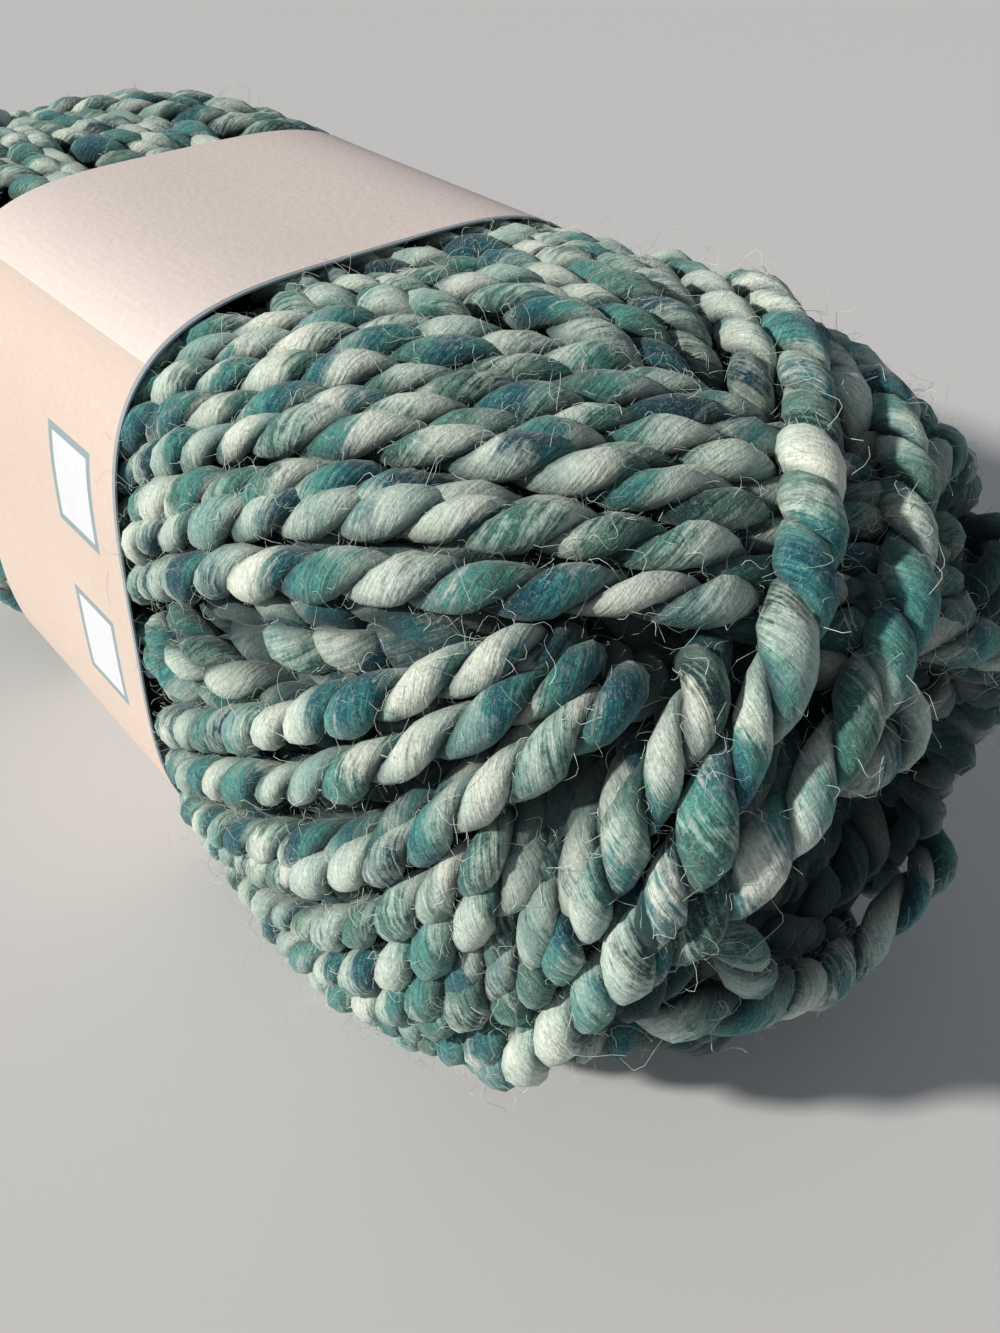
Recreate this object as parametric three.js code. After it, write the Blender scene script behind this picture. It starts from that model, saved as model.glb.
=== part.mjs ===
// A centre-pull skein of bulky yarn lying on its side, with a paper band round its waist.
//
// Millimetres. +X runs along the skein towards its front end, -Y is its near side, +Z is up.
// The origin is on the ground, under the middle of the skein's bounding box.
//
// The skein is a loft: rounded-square sections follow a row of stations from the band's edge
// over the shoulder and the rim of each end, and down into the hollow that the winding leaves.
// The winding's main twists are a low relief on that loft.
import * as THREE from 'three';

// ---- driving dimensions -------------------------------------------------------------------
const BAND_WIDTH = 62;          // paper band, along the skein
const BAND_FRONT_X = 28;        // where the band's front edge lies
const PAPER_THICKNESS = 1;
const PAPER_GAP = 0.3;          // between the paper and the yarn
const BAND_BACK_X = BAND_FRONT_X - BAND_WIDTH;

// Sections of the wound form, by distance beyond the band's edge. low and high are the heights
// of the section's bottom and top above the ground, and squareness is its superellipse power.
// A low below zero is pressed flat on the ground, and lean shifts a section towards the far side.
const FRONT_STATIONS = [
  { name: 'edge', beyond: 0, halfWidth: 48.5, low: 1.8, high: 98.4, lean: 0, squareness: 4.1 },
  { name: 'swell', beyond: 15, halfWidth: 52, low: -0.4, high: 100.2, lean: 0, squareness: 3.6 },
  { name: 'belly', beyond: 38, halfWidth: 54, low: -1.6, high: 102, lean: 0, squareness: 3.3 },
  { name: 'shoulder', beyond: 61, halfWidth: 53.5, low: 1.6, high: 98.5, lean: 1, squareness: 3.0 },
  { name: 'slope', beyond: 81, halfWidth: 48.5, low: 12, high: 92, lean: 3.5, squareness: 2.7 },
  { name: 'brow', beyond: 95, halfWidth: 36, low: 23, high: 82, lean: 4.5, squareness: 2.4 },
  { name: 'rim', beyond: 101, halfWidth: 24, low: 31.5, high: 72, lean: 2.5, squareness: 2.1 },
  { name: 'lip', beyond: 99, halfWidth: 18, low: 34.5, high: 67.5, lean: 1, squareness: 2 },
  { name: 'throat', beyond: 90, halfWidth: 14.5, low: 37.5, high: 65, lean: 0, squareness: 2 },
  { name: 'pit', beyond: 72, halfWidth: 12, low: 40, high: 62.5, lean: 0, squareness: 2 },
];
const BACK_STATIONS = [
  { name: 'edge', beyond: 0, halfWidth: 48.5, low: 1.8, high: 98.4, lean: 0, squareness: 4.1 },
  { name: 'swell', beyond: 15, halfWidth: 51.5, low: -0.4, high: 98.6, lean: 0, squareness: 3.6 },
  { name: 'belly', beyond: 37, halfWidth: 53.5, low: -1.6, high: 98.4, lean: 0, squareness: 3.3 },
  { name: 'shoulder', beyond: 58, halfWidth: 52, low: 1, high: 94.5, lean: 0, squareness: 3.0 },
  { name: 'slope', beyond: 76, halfWidth: 45, low: 10.5, high: 86.5, lean: -1, squareness: 2.7 },
  { name: 'brow', beyond: 88.5, halfWidth: 33.5, low: 21.5, high: 77.5, lean: -2, squareness: 2.4 },
  { name: 'rim', beyond: 95, halfWidth: 23, low: 31, high: 69.5, lean: -1, squareness: 2.1 },
  { name: 'lip', beyond: 93, halfWidth: 17, low: 34.5, high: 66, lean: 0, squareness: 2 },
  { name: 'throat', beyond: 84, halfWidth: 13.5, low: 37, high: 63.5, lean: 0, squareness: 2 },
  { name: 'pit', beyond: 67, halfWidth: 11, low: 39.5, high: 61, lean: 0, squareness: 2 },
];
const SAG = 0.07;               // sections are wider below their middle and narrower above it

// Main twists: ridges of about four strands each. Angles are in degrees about the skein's
// length, at the front end from the near side upwards, at the back end from the far side upwards.
// On the side that they start from and below it the strands climb towards the end, on the
// opposite side they fall towards it, and over the top an older lay shows between the two.
const RIDGES = 12;
const RIDGE_HEIGHT = 1.8;
const LAY_HEIGHT = 0.9;         // the last lays stand twice this far proud of the older one
const TANGENT_RADIUS = 30;      // every strand of the last lays passes the axis at this distance
const STEEPEST_SINE = 0.6;      // cap on the strands' slant close to the hollow
const OLDER_LAY_TURN = 0.1;     // the older lay runs almost along the skein
const CLIMBING_LAY = { from: -92, to: 45 };
const FALLING_LAY = { from: 143, to: 268 };
const SEAM_BLEND = 11;
const LUMP_HEIGHT = 0.9;
const LUMPS = 5;
const HOLLOW_CALM = 20;         // the relief starts at this section radius, outside the hollow
const TWISTS_FULL = 48;         // and is full from this one
const SOLE_HALF_ANGLE = 30;     // the relief fades to nothing over the flat spot below

// Crest: the last strands of all, which curve over the end from the top to the bottom.
const CREST_HEIGHT = 2.8;
const CREST_HALF_WIDTH = 8;
const CREST_DISTANCE = 31;      // how far from the axis they pass
const CREST_ANGLE = 28;         // on which side of it
const CREST_ROUNDNESS = 0.8;    // 1 would be a straight chord across the end
const CREST_START = 70;         // distance beyond the band where the crest has risen fully
const CREST_FADE = 25;

// ---- mesh fineness ------------------------------------------------------------------------
const AROUND = 76;
const STEPS_PER_STATION = 3;
const BAND_STEPS = 2;

const radians = (degrees) => (degrees * Math.PI) / 180;
const smoothstep = (low, high, value) => {
  const t = Math.min(Math.max((value - low) / (high - low), 0), 1);
  return t * t * (3 - 2 * t);
};

// ---- stations -----------------------------------------------------------------------------
function catmullRom(before, from, to, after, t) {
  const linear = to - before;
  const square = 2 * before - 5 * from + 4 * to - after;
  const cube = 3 * from - before - 3 * to + after;
  return 0.5 * (2 * from + linear * t + square * t * t + cube * t * t * t);
}

// A smooth run of sections through a table of stations, with the length along it.
function sectionRun(stations) {
  const columns = ['beyond', 'halfWidth', 'low', 'high', 'lean', 'squareness'];
  const last = stations.length - 1;
  const run = [];
  for (let i = 0; i < last; i++) {
    const rows = [stations[Math.max(i - 1, 0)], stations[i], stations[i + 1], stations[Math.min(i + 2, last)]];
    for (let step = 0; step < STEPS_PER_STATION; step++) {
      const section = {};
      for (const column of columns) {
        section[column] = catmullRom(...rows.map((row) => row[column]), step / STEPS_PER_STATION);
      }
      run.push(section);
    }
  }
  run.push({ ...stations[last] });
  return run;
}

const meanRadius = (section) => (section.halfWidth + (section.high - section.low) / 2) / 2;

// Adds the angle (degrees) that a strand has turned through between the band and each section.
function addTurn(run) {
  let turn = 0;
  run.forEach((section, i) => {
    if (i > 0) {
      const previous = run[i - 1];
      const rise = meanRadius(section) - meanRadius(previous);
      const length = Math.hypot(section.beyond - previous.beyond, rise);
      const sine = Math.min(TANGENT_RADIUS / meanRadius(section), STEEPEST_SINE);
      const slope = sine / Math.sqrt(1 - sine * sine);
      turn += THREE.MathUtils.radToDeg((slope * length) / meanRadius(section));
    }
    section.turn = turn;
  });
  return run;
}

// A point of a section at an angle about +X, measured from the near side upwards.
function sectionPoint(x, section, degrees, outset = 0) {
  const halfWidth = section.halfWidth + outset;
  const halfHeight = (section.high - section.low) / 2 + outset;
  const cosine = Math.cos(radians(degrees));
  const sine = Math.sin(radians(degrees));
  const power = section.squareness;
  const size = Math.abs(cosine / halfWidth) ** power + Math.abs(sine / halfHeight) ** power;
  const radius = size ** (-1 / power);
  const across = radius * cosine * (1 - SAG * sine);
  return new THREE.Vector3(x, section.lean - across, (section.low + section.high) / 2 + radius * sine);
}

// ---- relief -------------------------------------------------------------------------------
const ridge = (degrees) => Math.cos(radians(RIDGES * degrees));

// 1 inside a lay's span of angles and 0 outside it.
function inLay(lay, degrees) {
  const middle = (lay.from + lay.to) / 2;
  const halfSpan = (lay.to - lay.from) / 2;
  const fromMiddle = Math.abs(THREE.MathUtils.euclideanModulo(degrees - middle + 180, 360) - 180);
  return 1 - smoothstep(halfSpan - SEAM_BLEND, halfSpan + SEAM_BLEND, fromMiddle);
}

// How far the winding stands out of the smooth form.
function relief(section, degrees) {
  const climbing = inLay(CLIMBING_LAY, degrees - section.turn);
  const falling = inLay(FALLING_LAY, degrees + section.turn) * (1 - climbing);
  const older = 1 - climbing - falling;
  const twists = climbing * ridge(degrees - section.turn)
    + falling * ridge(degrees + section.turn)
    + older * ridge(degrees + OLDER_LAY_TURN * section.turn);
  const lumps = LUMP_HEIGHT * Math.sin(radians(LUMPS * degrees - 3 * section.beyond));
  const pastBand = smoothstep(0, 10, section.beyond);
  const clearOfHollow = smoothstep(HOLLOW_CALM, TWISTS_FULL, meanRadius(section));
  const height = RIDGE_HEIGHT * twists + LAY_HEIGHT * (1 - 2 * older) + lumps;
  return height * pastBand * clearOfHollow;
}

// The crest strands pass the axis in one wide curve across the end.
function crest(section, degrees) {
  const fromCrest = THREE.MathUtils.euclideanModulo(degrees - CREST_ANGLE + 180, 360) - 180;
  const across = Math.cos(radians(CREST_ROUNDNESS * fromCrest));
  const distance = meanRadius(section) * across - CREST_DISTANCE;
  const rise = smoothstep(CREST_START - CREST_FADE, CREST_START, section.beyond);
  return CREST_HEIGHT * rise * Math.exp(-((distance / CREST_HALF_WIDTH) ** 2));
}

function fadeOverSole(degrees) {
  const fromBelow = Math.abs(THREE.MathUtils.euclideanModulo(degrees + 90 + 180, 360) - 180);
  return smoothstep(SOLE_HALF_ANGLE, SOLE_HALF_ANGLE + 15, fromBelow);
}

// ---- wound yarn ---------------------------------------------------------------------------
// The rings of one end, from the band's edge to the bottom of its hollow. The back end's
// winding is the front end's turned half round, so its angles run the other way.
function endRings(stations, end) {
  const run = addTurn(sectionRun(stations));
  const edge = end > 0 ? BAND_FRONT_X : BAND_BACK_X;
  const angles = Array.from({ length: AROUND }, (_, j) => (360 * j) / AROUND);
  const smooth = run.map((section) =>
    angles.map((degrees) => sectionPoint(edge + end * section.beyond, section, degrees)));
  return smooth.map((ring, i) => ring.map((point, j) => {
    const along = smooth[Math.min(i + 1, smooth.length - 1)][j].clone().sub(smooth[Math.max(i - 1, 0)][j]);
    const round = ring[(j + 1) % AROUND].clone().sub(ring[(j + AROUND - 1) % AROUND]);
    const outward = along.cross(round).normalize().multiplyScalar(-end);
    const seen = end > 0 ? angles[j] : 180 - angles[j];
    const height = (relief(run[i], seen) + crest(run[i], seen)) * fadeOverSole(angles[j]);
    const raised = point.clone().addScaledVector(outward, height);
    raised.z = Math.max(raised.z, 0);
    return raised;
  }));
}

const ringCentre = (ring) =>
  ring.reduce((sum, point) => sum.add(point), new THREE.Vector3()).divideScalar(ring.length);

// Joins rings of AROUND points into strips, each quad split along its shorter diagonal so that
// the edges follow the twists. Rings run towards +X with the outside facing out.
function strips(points, ringCount, wraps) {
  const faces = [];
  const pairs = wraps ? ringCount : ringCount - 1;
  for (let i = 0; i < pairs; i++) {
    const next = (i + 1) % ringCount;
    for (let j = 0; j < AROUND; j++) {
      const k = (j + 1) % AROUND;
      const [a, b, c, d] = [i * AROUND + j, next * AROUND + j, i * AROUND + k, next * AROUND + k];
      if (points[b].distanceTo(points[c]) < points[a].distanceTo(points[d])) {
        faces.push(a, b, c, c, b, d);
      } else {
        faces.push(a, b, d, a, d, c);
      }
    }
  }
  return faces;
}

function geometryOf(points, faces) {
  const geometry = new THREE.BufferGeometry();
  geometry.setAttribute('position', new THREE.Float32BufferAttribute(points.flatMap((p) => p.toArray()), 3));
  geometry.setIndex(faces);
  geometry.computeVertexNormals();
  return geometry;
}

function woundYarn() {
  const back = endRings(BACK_STATIONS, -1).reverse();
  const front = endRings(FRONT_STATIONS, 1);
  const waist = [];
  for (let step = 1; step < BAND_STEPS; step++) {
    const x = BAND_BACK_X + (BAND_WIDTH * step) / BAND_STEPS;
    waist.push(front[0].map((point) => point.clone().setX(x)));
  }
  const rings = [...back, ...waist, ...front];
  const points = rings.flat();
  const faces = strips(points, rings.length, false);
  const backCentre = points.push(ringCentre(rings[0])) - 1;
  const frontCentre = points.push(ringCentre(rings[rings.length - 1])) - 1;
  const lastRing = (rings.length - 1) * AROUND;
  for (let j = 0; j < AROUND; j++) {
    const k = (j + 1) % AROUND;
    faces.push(backCentre, j, k);
    faces.push(frontCentre, lastRing + k, lastRing + j);
  }
  return geometryOf(points, faces);
}

// ---- paper band ---------------------------------------------------------------------------
// A ring of paper that follows the yarn's waist: its outside, then its inside, closed round.
function paperBand() {
  const waist = FRONT_STATIONS[0];
  const ringAt = (x, outset) =>
    Array.from({ length: AROUND }, (_, j) => sectionPoint(x, waist, (360 * j) / AROUND, outset));
  const stops = Array.from({ length: BAND_STEPS + 1 }, (_, i) => BAND_BACK_X + (BAND_WIDTH * i) / BAND_STEPS);
  const outside = stops.map((x) => ringAt(x, PAPER_GAP + PAPER_THICKNESS));
  const inside = stops.map((x) => ringAt(x, PAPER_GAP)).reverse();
  const rings = [...outside, ...inside];
  const points = rings.flat();
  return geometryOf(points, strips(points, rings.length, true));
}

// ---- scene graph --------------------------------------------------------------------------
function namedMesh(name, geometry, color, roughness) {
  const material = new THREE.MeshStandardMaterial({ color, roughness, metalness: 0 });
  const mesh = new THREE.Mesh(geometry, material);
  mesh.name = name;
  return mesh;
}

const skein = new THREE.Group();
skein.name = 'skein_of_yarn';
skein.add(namedMesh('yarn_skein', woundYarn(), 0x7fb0a4, 0.95));
skein.add(namedMesh('paper_band', paperBand(), 0xe8ddd8, 0.75));

export default skein;
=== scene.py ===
"""Looks of a centre-pull skein of bulky two-ply yarn with a paper band round its waist.

The yarn is laid the way it is wound. Each wrap is a strand that leaves the band, runs to the end
of the skein, passes round the hollow and comes back down the other side. The last wraps lie at
the wound form's surface and press the wraps below them in, and each strand's two plies twist
round each other. Lengths are in millimetres until a mesh is made.
"""

import math

import bpy
import numpy as np
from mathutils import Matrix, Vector


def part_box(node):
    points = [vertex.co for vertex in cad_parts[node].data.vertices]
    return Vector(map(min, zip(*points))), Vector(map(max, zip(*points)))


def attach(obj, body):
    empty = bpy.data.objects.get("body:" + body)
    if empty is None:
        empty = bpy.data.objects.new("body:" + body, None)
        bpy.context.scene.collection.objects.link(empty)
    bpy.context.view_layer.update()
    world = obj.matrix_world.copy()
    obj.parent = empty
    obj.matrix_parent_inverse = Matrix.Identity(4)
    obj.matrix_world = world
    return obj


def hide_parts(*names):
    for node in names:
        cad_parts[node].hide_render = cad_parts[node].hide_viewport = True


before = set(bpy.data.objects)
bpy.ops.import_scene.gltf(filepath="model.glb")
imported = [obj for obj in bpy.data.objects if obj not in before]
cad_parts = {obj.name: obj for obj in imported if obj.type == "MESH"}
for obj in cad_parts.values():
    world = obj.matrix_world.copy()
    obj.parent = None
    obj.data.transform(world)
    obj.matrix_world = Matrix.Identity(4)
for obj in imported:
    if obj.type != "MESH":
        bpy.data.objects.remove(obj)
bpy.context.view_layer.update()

MM = 0.001
RNG = np.random.default_rng(17)

# ---- the wound form, as in the part's source ----
paper_low, paper_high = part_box("paper_band")
BAND_FRONT_X = paper_high.x / MM
BAND_BACK_X = paper_low.x / MM
SAG = 0.07                      # sections are wider below their middle and narrower above it

# distance beyond the band's edge, half width, bottom, top, lean to the far side, squareness
FRONT_STATIONS = np.array([
    (0, 48.5, 1.8, 98.4, 0, 4.1),
    (15, 52, -0.4, 100.2, 0, 3.6),
    (38, 54, -1.6, 102, 0, 3.3),
    (61, 53.5, 1.6, 98.5, 1, 3.0),
    (81, 48.5, 12, 92, 3.5, 2.7),
    (95, 36, 23, 82, 4.5, 2.4),
    (101, 24, 31.5, 72, 2.5, 2.1),
    (99, 18, 34.5, 67.5, 1, 2),
    (90, 14.5, 37.5, 65, 0, 2),
    (72, 12, 40, 62.5, 0, 2),
    (69.5, 7, 44.5, 58, 0, 2),
    (69, 2, 49, 53.5, 0, 2),
])
BACK_STATIONS = np.array([
    (0, 48.5, 1.8, 98.4, 0, 4.1),
    (15, 51.5, -0.4, 98.6, 0, 3.6),
    (37, 53.5, -1.6, 98.4, 0, 3.3),
    (58, 52, 1, 94.5, 0, 3.0),
    (76, 45, 10.5, 86.5, -1, 2.7),
    (88.5, 33.5, 21.5, 77.5, -2, 2.4),
    (95, 23, 31, 69.5, -1, 2.1),
    (93, 17, 34.5, 66, 0, 2),
    (84, 13.5, 37, 63.5, 0, 2),
    (67, 11, 39.5, 61, 0, 2),
    (64.5, 6.5, 44, 56.5, 0, 2),
    (64, 2, 48.2, 52.3, 0, 2),
])
LEAN = 4                        # the column of the lean
STEPS_PER_STATION = 14
AROUND = 360                    # columns of the form's grid
SECTION_POINTS = 720

# ---- the yarn ----
PLY_RADIUS = 1.75               # a ply is flattened against the other: half its thickness,
FLATNESS = 1.22                 # how much broader than thick it is,
PLY_OFFSET = 1.4                # and how far its middle is from the strand's
TWIST_PITCH = 17.5              # length of one whole turn of the two plies
PITCH_VARIATION, PITCH_KNOTS = 0.1, 30      # share, and the length from knot to knot
PLUMPNESS, PLUMP_KNOTS = 0.15, 8            # how a ply's thickness varies, likewise
LEANEST, PLUMPEST = 0.75, 1.18
LUMPINESS = 0.045               # how uneven a ply's surface is
LUMP_MERGE = 1.7                # what the sum of three rings' lumps is divided by
ON_TOP = 0.17                   # a ply swells where it lies on top of the other and shrinks below
# steps in a turn of the plies, sides of a ply, and loose hairs: the front end shows most
DETAIL = {"front": (13, 9, 12800), "back": (11, 7, 3000)}
TUCK = 7                        # how far the strands run on under the paper
LAY_STEP = 1.6                  # of a strand's path while it is laid
MOST_STEPS = 400                # of one path
STEEPEST_SINE = 0.99            # of a steered path's heading, from straight along the form

# ---- how the strands lie on each other ----
CROSSING = 4.7                  # least distance between the middles of two strands that cross
BESIDE = 2.75                   # and of two that run side by side, which squeeze each other
CROSSING_SINE = 0.45            # of the angle from which two strands count as crossing
PRESSING = -14                  # strands deeper than this press on nothing
DEEPEST = -17                   # and those deeper than this are out of sight, and left out
HALF_WIDTH = 2.7                # from a strand's middle to where a covering one must reach
COVERING = 3.0                  # half the width that a strand hides below it
COVER_HEIGHT = 1.5              # a covering strand's middle is higher by this
UNDER_PAPER = -2.9              # no strand's middle stands higher where the paper holds it
UNDER_PAPER_TOP = 0.4           # and none of its surface stands higher than this
PAPER_HOLD = 3                  # length over which the paper's hold fades
STIFFNESS = 5                   # steps over which a strand spreads what presses on it
# How far a strand strays along the form, round it and in height, and over what length.
STRAY_ALONG, STRAY_ROUND, STRAY_UP, STRAY_LENGTH = 0.3, 0.5, 0.35, 24


def smoothstep(low, high, value):
    t = np.clip((value - low) / (high - low), 0, 1)
    return t * t * (3 - 2 * t)


def unit(vectors):
    return vectors / np.linalg.norm(vectors, axis=-1, keepdims=True)


def catmull_rom(table, steps):
    """A smooth run of rows through a table's rows."""
    last = len(table) - 1
    run = []
    for i in range(last):
        before, start, end, after = (table[min(max(k, 0), last)] for k in range(i - 1, i + 3))
        for t in np.arange(steps) / steps:
            linear = (end - before) * t
            square = (2 * before - 5 * start + 4 * end - after) * t * t
            cube = (3 * start - before - 3 * end + after) * t ** 3
            run.append(0.5 * (2 * start + linear + square + cube))
    run.append(table[-1])
    return np.array(run)


def lengths_along(points):
    """The length of a line of points at each of them."""
    return np.concatenate([[0], np.cumsum(np.linalg.norm(np.diff(points, axis=0), axis=1))])


def at_lengths(targets, lengths, points):
    """Rows for some lengths along a line of points."""
    return np.stack([np.interp(targets, lengths, column) for column in points.T], 1)


def section_points(row):
    """Points of one cross-section, from the near side (-Y) up over the top, and their angles about
    the skein's axis. The section is a rounded square, narrower at its top."""
    beyond, half_width, low, high, lean, squareness = row
    angle = np.arange(SECTION_POINTS + 1) * 2 * math.pi / SECTION_POINTS
    cosine, sine = np.cos(angle), np.sin(angle)
    across = np.abs(cosine / half_width) ** squareness
    upward = np.abs(sine / ((high - low) / 2)) ** squareness
    radius = (across + upward) ** (-1 / squareness)
    y = lean - radius * cosine * (1 - SAG * sine)
    z = np.maximum((low + high) / 2 + radius * sine, 0)
    return np.stack([np.full(SECTION_POINTS + 1, beyond), y, z], 1), angle


class WoundEnd:
    """One end of the wound form. Its own frame has X along the skein from the band's edge out. The
    back end is the front end's frame turned half round about Z.

    A place on it is a length along the form, from the band's edge over the rim into the hollow,
    and a turn about it in degrees, even in length round each section."""

    def __init__(self, stations, edge_x, facing):
        rows = catmull_rom(stations.astype(float), STEPS_PER_STATION)
        rows[:, LEAN] *= facing
        self.edge_x = edge_x
        self.facing = facing
        self.grid = np.zeros((len(rows), AROUND, 3))
        self.radius = np.zeros(len(rows))
        for i, row in enumerate(rows):
            points, angle = section_points(row)
            lengths = lengths_along(points)
            self.radius[i] = lengths[-1] / (2 * math.pi)
            targets = np.arange(AROUND) * lengths[-1] / AROUND
            self.grid[i] = at_lengths(targets, lengths, points)
            if i == 0:
                self.edge_angles = np.degrees(angle)
                self.edge_turns = lengths * 360 / lengths[-1]
        steps = np.hypot(np.diff(rows[:, 0]), np.diff(self.radius))
        self.along = np.concatenate([[0], np.cumsum(steps)])
        self.radius_slope = np.gradient(self.radius, self.along)
        along_grid = np.gradient(self.grid, axis=0)
        around_grid = np.roll(self.grid, -1, 1) - np.roll(self.grid, 1, 1)
        self.normals = unit(np.cross(along_grid, around_grid))

    def radius_at(self, along):
        return np.interp(along, self.along, self.radius)

    def slope_at(self, along):
        return np.interp(along, self.along, self.radius_slope) * (along > 0)

    def edge_turn(self, angle):
        """The turn, at the band's edge, of an angle about the skein's axis, in degrees."""
        whole = 360 * math.floor(angle / 360)
        return whole + float(np.interp(angle - whole, self.edge_angles, self.edge_turns))

    def sample(self, grid, along, turn):
        """A grid's values at some places, from the four round each."""
        row = np.interp(along, self.along, np.arange(len(self.along)))
        column = np.mod(turn, 360) * AROUND / 360
        row_low = np.minimum(row.astype(int), len(self.along) - 2)
        column_low = column.astype(int) % AROUND
        column_high = (column_low + 1) % AROUND
        a = (row - row_low)[..., None]
        b = (column - np.floor(column))[..., None]
        lower = grid[row_low, column_low] * (1 - b) + grid[row_low, column_high] * b
        upper = grid[row_low + 1, column_low] * (1 - b) + grid[row_low + 1, column_high] * b
        return lower * (1 - a) + upper * a

    def point(self, along, turn):
        """Points of the wound form in the end's own frame, or straight on under the paper."""
        points = self.sample(self.grid, along, turn)
        points[..., 0] += np.minimum(along, 0)
        return points

    def normal(self, along, turn):
        return unit(self.sample(self.normals, along, turn))

    def to_row(self, points):
        """From the end's own frame to the part's."""
        x = self.edge_x + self.facing * points[..., 0]
        return np.stack([x, self.facing * points[..., 1], points[..., 2]], -1)


FRONT = WoundEnd(FRONT_STATIONS, BAND_FRONT_X, 1)
BACK = WoundEnd(BACK_STATIONS, BAND_BACK_X, -1)


# ---- paths ----
def wrap_path(end, edge_turn, reach, steer=None):
    """A taut strand's path from the band's edge over the end and back: its length along the form
    and its turn about it. It passes the skein's axis at the distance reach, climbing the near side
    where that is positive. steer=(another reach, start, finish) draws it towards that one between
    those two lengths along the form."""
    along = -TUCK
    turn = edge_turn
    heading = math.asin(reach / float(end.radius_at(0)))
    path = []
    while along >= -TUCK and len(path) < MOST_STEPS:
        path.append((along, turn))
        radius = float(end.radius_at(along))
        if steer is not None and along < steer[2]:
            wanted = reach + (steer[0] - reach) * float(smoothstep(steer[1], steer[2], along))
            sine = max(-STEEPEST_SINE, min(STEEPEST_SINE, wanted / radius))
            outbound = math.asin(sine)
            homebound = math.copysign(math.pi, outbound) - outbound
            heading = outbound if math.cos(heading) > 0 else homebound
        middle_along = along + 0.5 * LAY_STEP * math.cos(heading)
        middle_radius = float(end.radius_at(middle_along))
        bend = -float(end.slope_at(middle_along)) / middle_radius * math.sin(heading)
        middle_heading = heading + 0.5 * LAY_STEP * bend
        along += LAY_STEP * math.cos(middle_heading)
        turn += math.degrees(LAY_STEP * math.sin(middle_heading) / middle_radius)
        heading += LAY_STEP * bend
    return np.array(path)


def passing_turn(path):
    """The turn at which a path passes the hollow."""
    return path[int(np.argmax(path[:, 0])), 1]


def stray(count, amount, rng):
    """Random numbers that change slowly along a path."""
    knots = max(4, int(count * LAY_STEP / STRAY_LENGTH) + 3)
    values = rng.normal(0, amount, knots)
    return np.interp(np.linspace(0, knots - 1, count), np.arange(knots), values)


def spread_lowest(values, width):
    """Each value's lowest neighbour, then smoothed."""
    padded = np.pad(values, width, mode="edge")
    windows = np.lib.stride_tricks.sliding_window_view(padded, 2 * width + 1)
    return blur(windows.min(1), width)


def blur(values, width):
    """A running mean of an odd width with its ends held, made twice."""
    width += 1 - width % 2
    kernel = np.ones(width) / width
    for _ in range(2):
        values = np.convolve(np.pad(values, width // 2, mode="edge"), kernel, mode="valid")
    return values


class Winding:
    """The strands of one end, placed from the last that was wound to the first."""

    def __init__(self, end, rng):
        self.end = end
        self.rng = rng
        self.pressing = np.zeros((0, 3), np.float32)
        self.pressing_along = np.zeros((0, 3), np.float32)
        self.strands = []

    def lay(self, path, level, untidiness=1.0, thickness=1.0):
        """Lays a strand under those that are there. level is how high its middle may stand."""
        count = len(path)
        along = path[:, 0] + stray(count, STRAY_ALONG * untidiness, self.rng)
        sway = stray(count, STRAY_ROUND * untidiness, self.rng)
        turn = path[:, 1] + np.degrees(sway / self.end.radius_at(path[:, 0]))
        base = self.end.point(along, turn)
        normal = self.end.normal(along, turn)
        height = level + stray(count, STRAY_UP * untidiness, self.rng)
        hold = 1 - smoothstep(0, PAPER_HOLD, along)
        height = height + (np.minimum(height, UNDER_PAPER) - height) * hold
        tangent = unit(np.gradient(base, axis=0))
        if len(self.pressing):
            upward, sideways = self.distances(base, normal)
            sine_squared = 1 - (tangent.astype(np.float32) @ self.pressing_along.T) ** 2
            crossing = np.clip(sine_squared / CROSSING_SINE ** 2, 0, 1)
            gap_squared = (BESIDE + (CROSSING - BESIDE) * crossing) ** 2
            room = np.sqrt(np.maximum(gap_squared - sideways, 0))
            here = (sideways < gap_squared) & (upward > DEEPEST)
            height = np.minimum(height, np.where(here, upward - room, np.inf).min(1))
        height = np.minimum(spread_lowest(height, 2), blur(height, STIFFNESS))
        middle = base + normal * height[:, None]
        seen = height > DEEPEST
        if len(self.pressing):
            seen &= ~self.covered(base, normal, np.cross(normal, tangent), height)
        presses = seen & (height > PRESSING)
        self.pressing = np.concatenate([self.pressing, middle[presses]], dtype=np.float32)
        self.pressing_along = np.concatenate([self.pressing_along, tangent[presses]],
                                             dtype=np.float32)
        self.strands.append({"middle": middle, "normal": normal, "height": height, "seen": seen,
                             "thickness": thickness})

    def distances(self, points, normal):
        """How far each strand point that presses is above each of some points, and how far beside
        them, squared."""
        away = self.pressing[None, :, :] - points[:, None, :].astype(np.float32)
        upward = np.einsum("ijk,ik->ij", away, normal.astype(np.float32))
        return upward, np.sum(away * away, -1) - upward ** 2

    def covered(self, base, normal, side, height):
        """Where a strand is hidden from edge to edge."""
        hidden = np.ones(len(base), bool)
        for offset in (-HALF_WIDTH, 0, HALF_WIDTH):
            upward, sideways = self.distances(base + side * offset, normal)
            above = (upward > height[:, None] + COVER_HEIGHT) & (sideways < COVERING ** 2)
            hidden &= above.any(1)
        return hidden


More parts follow.
